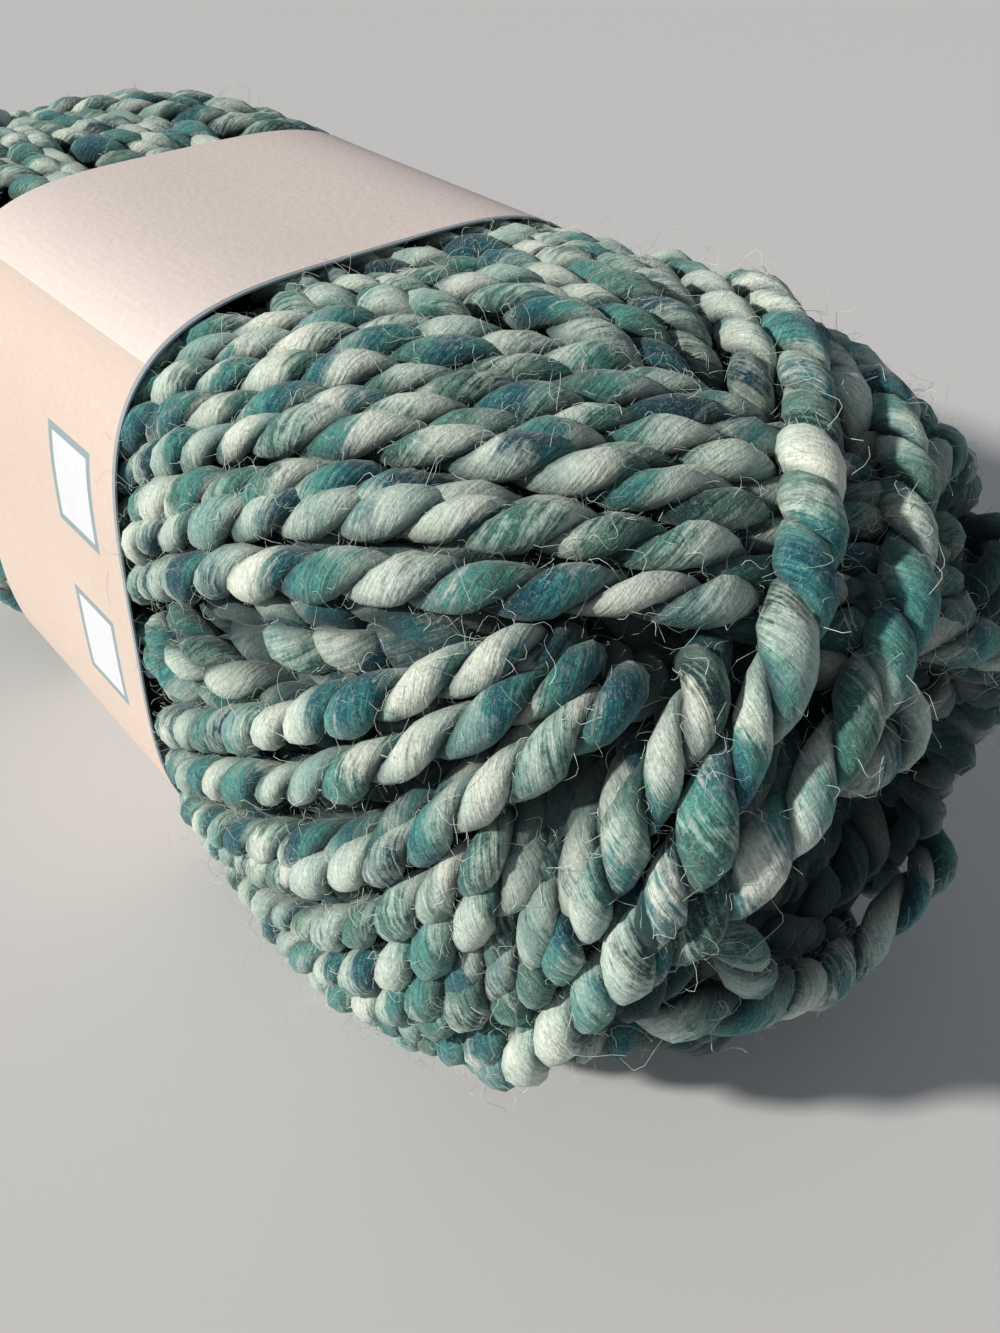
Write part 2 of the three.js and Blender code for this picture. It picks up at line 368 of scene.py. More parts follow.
# ---- the lays ----
# The lays that show on the near side, in the order in which they were wound. Each has its first
# and last strand's angle at the band's edge, how near the axis they start out and how near they
# are drawn to it, and how high their middles stand.
LAST_LAYS = [
    {"angles": (-26, -86), "strands": 9, "reaches": (35, 30), "drawn_to": (45, 41), "level": -2.3},
    {"angles": (52, 8), "strands": 8, "reaches": (28, 29), "drawn_to": (28, 29), "level": -2.4},
]
LAST_DRAWN_IN = (48, 85)        # the stretch of the form over which they are drawn to it
EDGE_STRAY, REACH_STRAY = 0.5, 0.6          # in degrees and in millimetres
# The strands of the crest, round the near side of the hollow: the turn at which each passes it,
# how near the axis, and how high its middle stands.
CREST = [(44, 30, -2.0), (27, 36.5, -0.7)]
CREST_THICKNESS = 1.14          # to the other strands' 1
CREST_UNTIDINESS = 0.5

# The older lays, from the last to the first. The first listed runs almost along the skein, and
# shows over the top and between the last lays. The next leans the other way and fills its gaps.
# The last few wraps cross the hollow's bottom. Each has its number of wraps, how near the axis
# they start out and how near they are drawn to it, and how high their middles stand.
OLDER_LAYS = [
    {"wraps": 31, "reach": -6, "drawn_to": (-23, -17), "level": -2.7},
    {"wraps": 24, "reach": 9, "drawn_to": (15, 21), "level": -7.2},
    {"wraps": 7, "reach": -5, "drawn_to": (-13, -11), "level": -6.0},
    {"wraps": 6, "reach": 3, "drawn_to": (2, 8), "level": -4.5},
]
DRAWN_IN = (72, 98)             # the stretch of the form over which they are drawn in
OLDER_REACH_STRAY = 1
SPREAD_AT = 30                  # where on the form they are spread evenly round it
SPREAD_STEP = 2                 # between the turns that are tried


def crossings(path, along):
    """The turns at which a path crosses a section of the form."""
    past = path[:, 0] > along
    return path[1:, 1][past[1:] != past[:-1]]


def even_lay(end, lay, rng):
    """The paths of a lay, each turned to where those before it have left the widest gap."""
    taken = np.zeros(0)
    for _ in range(lay["wraps"]):
        steer = (rng.uniform(*lay["drawn_to"]), *DRAWN_IN)
        path = wrap_path(end, 0, lay["reach"] + rng.normal(0, OLDER_REACH_STRAY), steer)
        places = crossings(path, SPREAD_AT)
        turns = np.arange(0, 360, SPREAD_STEP) + rng.uniform(0, SPREAD_STEP)
        turn = turns[0]
        if len(taken):
            apart = np.mod(turns[:, None, None] + places[None, :, None] - taken + 180, 360) - 180
            turn = turns[np.argmax(np.abs(apart).min((1, 2)))]
        path[:, 1] += turn
        taken = np.concatenate([taken, places + turn])
        yield path


def wind(end, rng):
    """All the strands of an end, from the last to the first."""
    winding = Winding(end, rng)
    for turn, reach, level in reversed(CREST):
        path = wrap_path(end, 0, reach)
        path[:, 1] += turn - passing_turn(path)
        winding.lay(path, level, CREST_UNTIDINESS, CREST_THICKNESS)
    for lay in reversed(LAST_LAYS):
        edges = [end.edge_turn(angle) for angle in lay["angles"]]
        for share in np.linspace(1, 0, lay["strands"]):
            edge, reach, drawn_to = (
                first + (last - first) * share
                for first, last in (edges, lay["reaches"], lay["drawn_to"]))
            edge += rng.normal(0, EDGE_STRAY)
            off = rng.normal(0, REACH_STRAY)
            path = wrap_path(end, edge, reach + off, (drawn_to + off, *LAST_DRAWN_IN))
            winding.lay(path, lay["level"])
    for lay in OLDER_LAYS:
        for path in even_lay(end, lay, rng):
            winding.lay(path, lay["level"])
    return winding


# ---- strands to meshes ----
RUN_ON = 5                      # steps that a strand runs on past where it goes out of sight
SHORTEST_RUN = 8                # steps in sight and beyond, or it isn't built
SMOOTHING_ROUNDS = 3


def runs_in_sight(strand):
    """The stretches of a strand that aren't hidden, and a little more at their ends."""
    seen = np.convolve(strand["seen"], np.ones(2 * RUN_ON + 1), mode="same") > 0.5
    edges = np.flatnonzero(np.diff(np.concatenate([[0], seen.astype(int), [0]])))
    for start, stop in zip(edges[::2], edges[1::2]):
        if stop - start >= SHORTEST_RUN:
            yield [strand[part][start:stop] for part in ("middle", "normal", "height")]


def resample(points, step):
    """Points at even steps along a curve through the given ones."""
    lengths = lengths_along(points[:, :3])
    return at_lengths(np.arange(0, lengths[-1], step), lengths, points)


def smooth_curve(points):
    """Draws each point towards its neighbours."""
    for _ in range(SMOOTHING_ROUNDS):
        points[1:-1] = 0.25 * points[:-2] + 0.5 * points[1:-1] + 0.25 * points[2:]
    return points


def uneven(length, spacing, amount, rng):
    """A smooth random number at each length."""
    knots = np.arange(0, length[-1] + 2 * spacing, spacing)
    return np.interp(length, knots, rng.normal(0, amount, len(knots)))


def plies(middle, normal, height, thickness, steps, rng):
    """The two plies of a strand: middle line, outward direction, radius, length and how far the
    ply's middle is from the wound form, at each step."""
    step = TWIST_PITCH / steps
    path = smooth_curve(resample(np.concatenate([middle, normal, height[:, None]], 1), step))
    middle, normal, height = path[:, :3], path[:, 3:6], path[:, 6]
    tangent = unit(np.gradient(middle, axis=0))
    normal = unit(normal - tangent * np.sum(normal * tangent, 1, keepdims=True))
    side = np.cross(normal, tangent)
    length = np.arange(len(middle)) * step
    pitch = TWIST_PITCH * (1 + uneven(length, PITCH_KNOTS, PITCH_VARIATION, rng))
    phase = rng.uniform(0, 2 * math.pi) + np.cumsum(2 * math.pi * step / pitch)
    for turn in (phase, phase + math.pi):
        outward = np.cos(turn)[:, None] * normal + np.sin(turn)[:, None] * side
        plump = 1 + uneven(length, PLUMP_KNOTS, PLUMPNESS, rng)
        plump = thickness * np.clip(plump, LEANEST, PLUMPEST)
        plump *= 1 + ON_TOP * np.cos(turn)
        offset = PLY_OFFSET * (0.5 + 0.5 * plump)
        yield {
            "middle": middle + outward * offset[:, None],
            "outward": outward,
            "radius": PLY_RADIUS * plump,
            "length": length,
            "height": height + offset * np.cos(turn),
            "normal": normal,
        }


def tube(ply, sides, rng):
    """Points round a ply, ring by ring, each ring from the side that faces the other ply, and the
    ply's direction at each ring."""
    line, outward = ply["middle"], ply["outward"]
    tangent = unit(np.gradient(line, axis=0))
    first = unit(outward - tangent * np.sum(outward * tangent, 1, keepdims=True))
    second = np.cross(tangent, first)
    angles = (np.arange(sides) / sides - 0.5) * 2 * math.pi
    ring = (np.cos(angles)[None, :, None] * first[:, None, :]
            + np.sin(angles)[None, :, None] * second[:, None, :] * FLATNESS)
    lumps = rng.normal(0, LUMPINESS, (len(line) + 2, sides))
    lumps = (lumps[:-2] + lumps[1:-1] + lumps[2:]) / LUMP_MERGE
    rings = line[:, None, :] + ring * (1 + lumps[..., None]) * ply["radius"][:, None, None]
    return rings, tangent


def link_mesh(mesh, material):
    """A piece of the scene, made of a mesh and named as it is."""
    mesh.materials.append(material)
    piece = bpy.data.objects.new(mesh.name, mesh)
    bpy.context.scene.collection.objects.link(piece)
    return piece


# On the atlas, the share of its row that a tube leaves free on either side, where the rows start
# and how long the longest is, and where the tubes' two end caps lie, beyond that.
ATLAS_MARGIN = 0.04
ATLAS_START, ATLAS_LENGTH = 0.01, 0.97
CAPS_START, CAPS_APART, CAP_SIZE, CAP_RADIUS = 0.982, 0.008, 0.006, 0.4


class MeshMaker:
    """Gathers tubes into one mesh, with a map of each tube's length and girth (Strand) and a flat
    atlas of them (OFBake)."""

    def __init__(self):
        self.points, self.quads, self.caps, self.depths = [], [], [], []
        self.strand_uv = []
        self.count = 0

    def add_tube(self, rings, length, start, depth):
        """start moves the tube along the Strand map, so no two tubes look alike. depth is how far
        each point lies below the wound form."""
        steps, sides = rings.shape[:2]
        index = self.count + np.arange(steps * sides).reshape(steps, sides)
        a, b = index[:-1], index[1:]
        quads = np.stack([a, np.roll(a, -1, 1), np.roll(b, -1, 1), b], -1).reshape(-1, 4)
        self.points.append(rings.reshape(-1, 3))
        self.depths.append(depth.ravel())
        self.quads.append(quads)
        uv = np.stack(np.meshgrid(length, np.arange(sides + 1) / sides, indexing="ij"), -1)
        corners = np.stack([uv[:-1, :-1], uv[:-1, 1:], uv[1:, 1:], uv[1:, :-1]], 2)
        self.strand_uv.append((corners.reshape(-1, 4, 2), start))
        self.caps += [index[0][::-1], index[-1]]
        self.count += steps * sides

    def build(self, name, material):
        points = np.concatenate(self.points) * MM
        quads = np.concatenate(self.quads)
        caps = np.array(self.caps)
        sides = caps.shape[1]
        mesh = bpy.data.meshes.new(name)
        mesh.vertices.add(len(points))
        mesh.vertices.foreach_set("co", points.astype(np.float32).ravel())
        loops = np.concatenate([quads.ravel(), caps.ravel()]).astype(np.int32)
        sizes = np.repeat([4, sides], [len(quads), len(caps)]).astype(np.int32)
        starts = (np.cumsum(sizes) - sizes).astype(np.int32)
        mesh.loops.add(len(loops))
        mesh.loops.foreach_set("vertex_index", loops)
        mesh.polygons.add(len(sizes))
        mesh.polygons.foreach_set("loop_start", starts)
        mesh.polygons.foreach_set("loop_total", sizes)
        mesh.update(calc_edges=True)
        mesh.validate()
        mesh.polygons.foreach_set("use_smooth", np.ones(len(sizes), bool))
        self.write_maps(mesh, len(caps), sides)
        depth = mesh.attributes.new("depth", "FLOAT", "POINT")
        depth.data.foreach_set("value", np.concatenate(self.depths).astype(np.float32))
        return link_mesh(mesh, material)

    def write_maps(self, mesh, cap_count, sides):
        longest = max(corners[:, :, 0].max() for corners, _ in self.strand_uv)
        rows = len(self.strand_uv)
        strand, atlas = [], []
        for row, (corners, start) in enumerate(self.strand_uv):
            strand.append(corners + np.array([start, 0]))
            flat_u = ATLAS_START + ATLAS_LENGTH * corners[:, :, 0] / longest
            flat_v = (row + ATLAS_MARGIN + (1 - 2 * ATLAS_MARGIN) * corners[:, :, 1]) / rows
            atlas.append(np.stack([flat_u, flat_v], -1))
        angles = np.arange(sides) * 2 * math.pi / sides
        cap_shape = 0.5 + CAP_RADIUS * np.stack([np.cos(angles), np.sin(angles)], -1)
        cap_strand = np.tile(cap_shape, (cap_count, 1))
        row_of_cap, end_of_cap = np.divmod(np.repeat(np.arange(cap_count), sides), 2)
        cap_u = CAPS_START + CAPS_APART * end_of_cap + CAP_SIZE * cap_strand[:, 0]
        cap_v = (row_of_cap + cap_strand[:, 1]) / rows
        for map_name, parts, cap_uv in (("Strand", strand, cap_strand),
                                        ("OFBake", atlas, np.stack([cap_u, cap_v], -1))):
            layer = mesh.uv_layers.new(name=map_name)
            values = np.concatenate([np.concatenate(parts).reshape(-1, 2), cap_uv])
            layer.data.foreach_set("uv", values.astype(np.float32).ravel())
        mesh.uv_layers["Strand"].active_render = True
        mesh.uv_layers["Strand"].active = True


STRANDS_PER_PIECE = 12
PAPER_REACH = 0.5               # past the paper's edge, as far as yarn is pressed flat under it
FLOOR_GAP = 0.2                 # least height of the yarn
MAP_SHIFT = 4000                # most that a ply's length is moved along the Strand map
HAIR_DEPTH = 4.5                # no hair stands on yarn deeper than this,
HAIR_FROM = 1.5                 # nearer to the paper
HAIR_ABOVE = 1                  # or lower


def lay_ply(ply, sides, rng):
    """A ply's points, pressed flat by the paper and the floor, how far each lies below the wound
    form, and the places for hairs: point, outward direction and direction of the ply."""
    rings, tangent = tube(ply, sides, rng)
    away = rings - ply["middle"][:, None, :]
    depth = -ply["height"][:, None] - np.sum(away * ply["normal"][:, None, :], -1)
    pressed = np.clip(-depth - UNDER_PAPER_TOP, 0, None)
    pressed = np.where(rings[..., 0] < PAPER_REACH, pressed, 0)
    rings = rings - ply["normal"][:, None, :] * pressed[..., None]
    rings[..., 2] = np.maximum(rings[..., 2], FLOOR_GAP)
    open_air = depth < HAIR_DEPTH
    open_air &= (rings[..., 0] > HAIR_FROM) & (rings[..., 2] > HAIR_ABOVE)
    tangent = np.broadcast_to(tangent[:, None, :], rings.shape)
    places = np.concatenate([rings[open_air], unit(away[open_air]), tangent[open_air]], 1)
    return rings, depth, places


def yarn_pieces(winding, steps, sides, base_name, material, rng):
    """Meshes of a winding's strands, a few strands to a piece, and the places for hairs."""
    made, places = [], []
    strands = winding.strands
    for first in range(0, len(strands), STRANDS_PER_PIECE):
        maker = MeshMaker()
        for strand in strands[first:first + STRANDS_PER_PIECE]:
            for run in runs_in_sight(strand):
                for ply in plies(*run, strand["thickness"], steps, rng):
                    rings, depth, ply_places = lay_ply(ply, sides, rng)
                    places.append(ply_places)
                    rings = winding.end.to_row(rings)
                    maker.add_tube(rings, ply["length"], rng.uniform(0, MAP_SHIFT), depth)
        made.append(maker.build(f"{base_name}_{len(made) + 1}", material))
    return made, np.concatenate(places)


# ---- hairs ----
HAIR_STEPS = 8                  # points along a hair
HAIR_HALF_WIDTH = 0.036
HAIR_TAPER = 0.6                # share of its width that a hair loses to its tip
SHORTEST_HAIR = 1.2
HAIR_LENGTH = (3.0, 1.2)        # gamma distribution of the length beyond the shortest
HAIR_LIFT = (1.6, 0.28)         # and of how high a hair stands
HAIR_SPREAD = 0.8               # of its bearing from the ply's direction, in radians
HAIR_AHEAD = 0.75               # share of its length that takes it ahead
LOOPED_HAIRS = 0.6              # share of the hairs whose tip comes back down
CURL = 0.19                     # to the side, as a share of the length
NOD = 0.4                       # up and down, as a share of the curl
SWAY_WAVES, NOD_WAVES, TILT_WAVES = 5.5, 8, 3        # radians from root to tip
MOST_TILT = 0.7                 # of the ribbon, in radians
HAIR_LOWEST = 0.3


def hairs(end, places, count, name, material, rng):
    """Loose fibres that stand off the yarn, each a fine curled ribbon."""
    count = count
    chosen = places[rng.integers(0, len(places), count)]
    root, outward, tangent = chosen[:, None, :3], chosen[:, None, 3:6], chosen[:, None, 6:]
    side = np.cross(outward, tangent)
    bearing = rng.normal(0, HAIR_SPREAD, count) + math.pi * rng.integers(0, 2, count)
    bearing = bearing[:, None, None]
    ahead = np.cos(bearing) * tangent + np.sin(bearing) * side
    aside = np.cross(outward, ahead)
    length = rng.gamma(*HAIR_LENGTH, (count, 1, 1)) + SHORTEST_HAIR
    lift = rng.gamma(*HAIR_LIFT, (count, 1, 1))
    looped = rng.random((count, 1, 1)) < LOOPED_HAIRS
    phase = rng.uniform(0, 2 * math.pi, (4, count, 1, 1))
    curl = CURL * length
    t = np.linspace(0, 1, HAIR_STEPS)[None, :, None]
    rise = lift * np.where(looped, 4 * t * (1 - t), 1.5 * t)
    sway = curl * (np.sin(SWAY_WAVES * t + phase[0]) - np.sin(phase[0]))
    nod = NOD * curl * (np.sin(NOD_WAVES * t + phase[1]) - np.sin(phase[1]))
    lines = root + ahead * length * t * HAIR_AHEAD + outward * (rise + nod) + aside * sway
    lines[..., 2] = np.maximum(lines[..., 2], HAIR_LOWEST)
    tilt = MOST_TILT * np.sin(phase[2] + TILT_WAVES * t)
    broad = unit(np.cross(np.gradient(lines, axis=1), np.broadcast_to(outward, lines.shape)))
    broad = broad * np.cos(tilt) + outward * np.sin(tilt)
    broad = broad * HAIR_HALF_WIDTH * (1 - HAIR_TAPER * t)
    points = end.to_row(np.stack([lines - broad, lines + broad], 2))
    index = np.arange(count * HAIR_STEPS * 2).reshape(count, HAIR_STEPS, 2)
    faces = np.stack([index[:, :-1, 0], index[:, 1:, 0], index[:, 1:, 1], index[:, :-1, 1]], -1)
    mesh = bpy.data.meshes.new(name)
    mesh.from_pydata((points.reshape(-1, 3) * MM).tolist(), [], faces.reshape(-1, 4).tolist())
    return link_mesh(mesh, material)


# ---- materials ----
class Shader:
    """A material and short ways to add nodes to it. An input that is another node's output is
    linked, a tuple is a colour, and a number is set as it is."""

    def __init__(self, name):
        self.material = bpy.data.materials.new(name)
        self.material.use_nodes = True
        self.nodes = self.material.node_tree.nodes
        self.nodes.clear()

    def add(self, kind, inputs, **settings):
        node = self.nodes.new(kind)
        for key, value in settings.items():
            setattr(node, key, value)
        for key, value in inputs.items():
            if isinstance(value, bpy.types.NodeSocket):
                self.material.node_tree.links.new(value, node.inputs[key])
            elif isinstance(value, tuple):
                node.inputs[key].default_value = (*value, 1)
            else:
                node.inputs[key].default_value = value
        return node

    def uv_map(self, name):
        uv = self.add("ShaderNodeUVMap", {}, uv_map=name).outputs[0]
        split = self.add("ShaderNodeSeparateXYZ", {0: uv})
        return split.outputs[0], split.outputs[1]

    def position(self):
        return self.add("ShaderNodeNewGeometry", {}).outputs["Position"]

    def noise(self, place, scale, detail, roughness=0.5):
        inputs = {"Vector": place, "Scale": scale, "Detail": detail, "Roughness": roughness}
        return self.add("ShaderNodeTexNoise", inputs).outputs["Fac"]

    def maths(self, operation, a, b=0):
        return self.add("ShaderNodeMath", {0: a, 1: b}, operation=operation).outputs[0]

    def times(self, a, b):
        return self.maths("MULTIPLY", a, b)

    def rescale(self, value, low, high, to_low=0, to_high=1):
        """A value held between two others and brought between another two."""
        inputs = {"Value": value, "From Min": low, "From Max": high, "To Min": to_low,
                  "To Max": to_high}
        return self.add("ShaderNodeMapRange", inputs, clamp=True).outputs[0]

    def ramp(self, value, stops):
        node = self.add("ShaderNodeValToRGB", {0: value})
        elements = node.color_ramp.elements
        elements.remove(elements[-1])
        elements[0].position = stops[0][0]
        elements[0].color = (*stops[0][1], 1)
        for position, colour in stops[1:]:
            elements.new(position).color = (*colour, 1)
        return node.outputs[0]

    def mix(self, share, below, above):
        inputs = {"Factor": share, 6: below, 7: above}
        return self.add("ShaderNodeMix", inputs, data_type="RGBA").outputs[2]

    def shade(self, colour, amount):
        inputs = {0: colour, "Scale": amount}
        return self.add("ShaderNodeVectorMath", inputs, operation="SCALE").outputs[0]

    def bump(self, height, strength, distance, **inputs):
        inputs.update(Height=height, Strength=strength, Distance=distance)
        return self.add("ShaderNodeBump", inputs).outputs[0]

    def finish(self, colour, inputs):
        """The material, a surface of this colour with these other inputs."""
        surface = self.add("ShaderNodeBsdfPrincipled", {"Base Color": colour, **inputs})
        self.add("ShaderNodeOutputMaterial", {0: surface.outputs[0]})
        return self.material


# The dyed lengths' colours, from blue to green, and the undyed wool's, each with its place on a
# ramp.
DYES = [
    (0.00, (0.003, 0.026, 0.044)),
    (0.26, (0.007, 0.066, 0.100)),
    (0.42, (0.022, 0.160, 0.190)),
    (0.55, (0.095, 0.330, 0.290)),
    (0.70, (0.045, 0.140, 0.120)),
    (0.84, (0.150, 0.290, 0.240)),
    (1.00, (0.015, 0.058, 0.058)),
]
UNDYED = [
    (0.00, (0.320, 0.500, 0.460)),
    (0.45, (0.610, 0.740, 0.660)),
    (1.00, (0.840, 0.890, 0.790)),
]
# near-black teal, painted as shade between and below the strands
PAINTED_SHADE_COLOUR = (0.011, 0.033, 0.038)
FUZZ_COLOUR = (0.62, 0.72, 0.67)
SHEEN_COLOUR = (0.85, 0.95, 0.92)
LOOSE_HAIR_COLOUR = (0.62, 0.72, 0.66)
# near-black colours, painted as shade on the turns under the strands
CORE_SHADE_COLOURS = [(0, (0.004, 0.012, 0.014)), (1, (0.014, 0.038, 0.042))]

# Noises on a ply: how many to its millimetre and to its turn, shift, detail and roughness.
FIBRE_NOISE = (1 / 4, 18, 3, 3, 0.65)
FINE_NOISE = (1 / 1.6, 46, 7, 2, 0.6)
DYED_NOISE = (1 / 15, 0.9, 0, 1, 0.5)
HUE_NOISE = (1 / 22, 0.7, 21, 1, 0.5)
PALE_NOISE = (1 / 12, 1.2, 40, 1, 0.5)
FIBRE_LEAN = 0.03               # turns that the fibres take round their ply in a millimetre
NOISE_RANGE = (0.3, 0.7)        # most values of a noise lie between these
DYED_RANGE = (0.432, 0.542)     # undyed wool below these values, dyed above them
HUE_RANGE = (0.27, 0.73)
RAGGED_BY_FELT, RAGGED_BY_FIBRES = 0.2, 0.34         # how ragged the colours' edges are
# Noises in space, in noises to a metre, and how far they and the fine one lighten or darken.
FELT_ROUGHNESS = 0.65
MOTTLE_SCALE, SPECKLE_SCALE, FELT_DETAIL = 650, 2200, 3
FINE_SHADES, SPECKLE_SHADES = (0.7, 1.14), (0.74, 1.16)
# Fuzz on the surface: scale, width in noise values, and share of its colour.
FUZZ_LINES, FUZZ_DETAIL, FUZZ_SHARE = [(640, 0.010), (1000, 0.012)], 1.5, 0.3
# Shade is painted on the yarn's colour: fibres deep below the wound form, in millimetres, are
# painted as if little light reached them, and those that face the strand's other ply, by the cosine
# of their angle from it, as if none did.
LIT_DEPTH, DARK_DEPTH, LEAST_LIGHT = -0.8, 4.6, 0.13
LIT_COSINE, DARK_COSINE = -0.4, 0.8


def yarn_material():
    """Wool dyed in short lengths. Its noises run along each ply, whose length and girth the map
    Strand gives in millimetres and turns."""
    shader = Shader("yarn")
    maths, times, rescale = shader.maths, shader.times, shader.rescale
    along, around = shader.uv_map("Strand")
    twisted = maths("ADD", around, times(along, FIBRE_LEAN))
    position = shader.position()

    def ply_noise(to_millimetre, to_turn, shift, detail, roughness):
        inputs = {0: times(along, to_millimetre), 1: times(twisted, to_turn), 2: shift}
        place = shader.add("ShaderNodeCombineXYZ", inputs).outputs[0]
        return shader.noise(place, 1, detail, roughness)

    def off_middle(noise):
        return maths("SUBTRACT", noise, 0.5)

    def lines(scale, width):
        """Curled lines, where a noise passes its middle value."""
        noise = shader.noise(position, scale, FUZZ_DETAIL, FELT_ROUGHNESS)
        return rescale(maths("ABSOLUTE", off_middle(noise)), 0, width, 1, 0)

    fibres, fine = ply_noise(*FIBRE_NOISE), ply_noise(*FINE_NOISE)
    mottle = shader.noise(position, MOTTLE_SCALE, FELT_DETAIL, FELT_ROUGHNESS)
    speckle = shader.noise(position, SPECKLE_SCALE, FELT_DETAIL, FELT_ROUGHNESS)
    ragged = maths("ADD", times(off_middle(mottle), RAGGED_BY_FELT),
                   times(off_middle(fibres), RAGGED_BY_FIBRES))
    dyed, hue, pale = (
        rescale(maths("ADD", ply_noise(*noise), ragged), *limits)
        for noise, limits in ((DYED_NOISE, DYED_RANGE), (HUE_NOISE, HUE_RANGE),
                              (PALE_NOISE, NOISE_RANGE)))
    colour = shader.mix(dyed, shader.ramp(pale, UNDYED), shader.ramp(hue, DYES))
    colour = shader.shade(colour, times(rescale(fine, *NOISE_RANGE, *FINE_SHADES),
                                        rescale(speckle, *NOISE_RANGE, *SPECKLE_SHADES)))

    # painted shade: the colour darkens towards a near-black teal deep below the wound form and
    # where a ply faces the strand's other ply
    depth = shader.add("ShaderNodeAttribute", {}, attribute_name="depth").outputs["Fac"]
    inward = maths("COSINE", times(around, 2 * math.pi))
    light = times(rescale(depth, LIT_DEPTH, DARK_DEPTH, 1, LEAST_LIGHT),
                  rescale(inward, LIT_COSINE, DARK_COSINE, 1, 0))
    colour = shader.mix(light, PAINTED_SHADE_COLOUR, colour)
    fuzz = maths("MAXIMUM", *(lines(*line) for line in FUZZ_LINES))
    colour = shader.mix(times(times(fuzz, light), FUZZ_SHARE), colour, FUZZ_COLOUR)

    coarse_bump = shader.bump(fibres, strength=0.5, distance=0.5 * MM)
    return shader.finish(colour, {
        "Normal": shader.bump(speckle, strength=0.6, distance=0.3 * MM, Normal=coarse_bump),
        "Roughness": 0.95, "Specular IOR Level": 0.15,
        "Sheen Weight": 0.3, "Sheen Roughness": 0.5, "Sheen Tint": SHEEN_COLOUR,
    })


def core_material():
    """The turns under the strands, coloured near black as painted shade, so that they show only as
    dark gaps.
    """
    shader = Shader("yarn_shadow")
    noise = shader.noise(shader.position(), scale=260, detail=3)
    bump = shader.bump(noise, strength=0.6, distance=MM)
    return shader.finish(shader.ramp(noise, CORE_SHADE_COLOURS), {"Roughness": 0.95, "Normal": bump})


def plain_material(name, colour, roughness):
    inputs = {"Roughness": roughness, "Specular IOR Level": 0.2}
    return Shader(name).finish(colour, inputs)


# The paper's printed boxes, a dark line along its front edge, and tones painted on its top and near
# sides for how the light falls there (the near side, which the sun lights most, darker and warmer,
# the top lighter), in millimetres from its front edge and, up from the middle of the near side,
# round the skein.
PAPER_WHITE = (0.74, 0.70, 0.67)
TOP_SIDE_PAINTED_TONE = (44.5, 131, (0.86, 0.76, 0.725))
NEAR_SIDE_PAINTED_TONE = (-43.5, 44.5, (0.70, 0.585, 0.515))
BOX_ACROSS = (9.5, 21)
BOX_PLACES = [(13.5, 27.5), (-16, -1.5)]
BOX_COLOUR = (0.74, 0.77, 0.83)
BOX_LINE = 1.3
BOX_LINE_COLOUR = (0.30, 0.38, 0.41)
EDGE_LINE = 0.9
EDGE_LINE_COLOUR = (0.33, 0.38, 0.42)
GRAIN_SCALE, GRAIN_SHADES = 900, (0.965, 1.02)
CLOUD_SCALE, CLOUD_SHADES = 35, (0.975, 1.01)


def paper_material():
    """The label's tones painted on its sides for the light, its edge line and its boxes, from the
    map Print.
    """
    shader = Shader("paper")
    across, up = shader.uv_map("Print")

    def between(value, low, high):
        return shader.times(shader.maths("GREATER_THAN", value, low),
                            shader.maths("LESS_THAN", value, high))

    colour = PAPER_WHITE
    # painted light: the top and the near side of the one paper get tones of their own for how the
    # light falls on them
    for low, high, side_tone in (TOP_SIDE_PAINTED_TONE, NEAR_SIDE_PAINTED_TONE):
        colour = shader.mix(between(up, low, high), colour, side_tone)
    for low, high in BOX_PLACES:
        for grow, ink in ((BOX_LINE, BOX_LINE_COLOUR), (0, BOX_COLOUR)):
            wide = between(across, BOX_ACROSS[0] - grow, BOX_ACROSS[1] + grow)
            tall = between(up, low - grow, high + grow)
            colour = shader.mix(shader.times(wide, tall), colour, ink)
    colour = shader.mix(between(across, -1, EDGE_LINE), colour, EDGE_LINE_COLOUR)

    position = shader.position()
    grain = shader.noise(position, GRAIN_SCALE, detail=3)
    cloud = shader.noise(position, CLOUD_SCALE, detail=2)
    shades = shader.times(shader.rescale(grain, *NOISE_RANGE, *GRAIN_SHADES),
                          shader.rescale(cloud, *NOISE_RANGE, *CLOUD_SHADES))
    grain_bump = shader.bump(grain, strength=0.35, distance=0.2 * MM)
    return shader.finish(shader.shade(colour, shades), {
        "Normal": shader.bump(cloud, strength=0.4, distance=0.6 * MM, Normal=grain_bump),
        "Roughness": 0.62, "Specular IOR Level": 0.35,
    })


# ---- core and paper ----
# How far the dark inner surface lies below the wound form, by the form's radius. It lies higher in
# the hollow and on the shoulder round it.
CORE_DEPTH = [(12, 6), (19, 13), (30, 14), (36, 9), (42, 14)]
CORE_ACROSS = 60
CORE_STRIDE = 4                 # degrees of turn
CORE_END = 4                    # from the hollow's bottom


def grid_mesh(name, rings, material, smooth):
    """A closed mesh of rings of points, each ring joined to the next, in millimetres."""
    count, around = rings.shape[:2]
    points = [tuple(p * MM) for p in rings.reshape(-1, 3)]
    faces = [tuple(range(around))[::-1], tuple(range((count - 1) * around, count * around))]
    for start in range(0, (count - 1) * around, around):
        for j in range(around):
            a, b = start + j, start + (j + 1) % around
            faces.append((a, b, b + around, a + around))
    mesh = bpy.data.meshes.new(name)
    mesh.from_pydata(points, [], faces)
    mesh.update()
    mesh.polygons.foreach_set("use_smooth", np.full(len(faces), smooth))
    return link_mesh(mesh, material)


